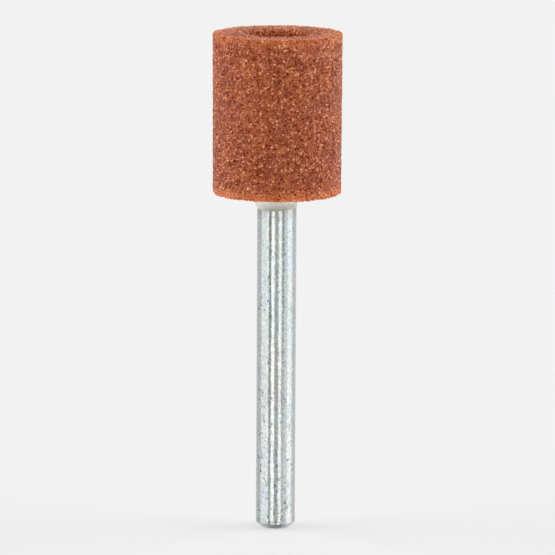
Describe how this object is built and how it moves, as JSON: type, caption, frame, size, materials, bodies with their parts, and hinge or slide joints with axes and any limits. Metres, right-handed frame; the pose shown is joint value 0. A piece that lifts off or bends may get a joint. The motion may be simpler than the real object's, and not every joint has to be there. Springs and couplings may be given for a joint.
{
  "type": "mounted point",
  "caption": "Cylindrical abrasive stone with a recessed working end, cemented onto a chamfered round steel shank that the collet of a rotary tool grips.",
  "frame": {"origin": "centre of the shank's free end face", "axes": "+Z along the axis, from the shank's free end towards the abrasive head; the part is round about +Z"},
  "size_m": [0.0104, 0.0104, 0.0402],
  "materials": {
    "zinc_plated_steel": "satin",
    "brown_aluminium_oxide": "matte",
    "mineral_cement": "matte"
  },
  "bodies": {
    "root": {"shank": "zinc_plated_steel", "abrasive_head": "brown_aluminium_oxide", "bonding_cement": "mineral_cement"}
  },
  "joints": []
}
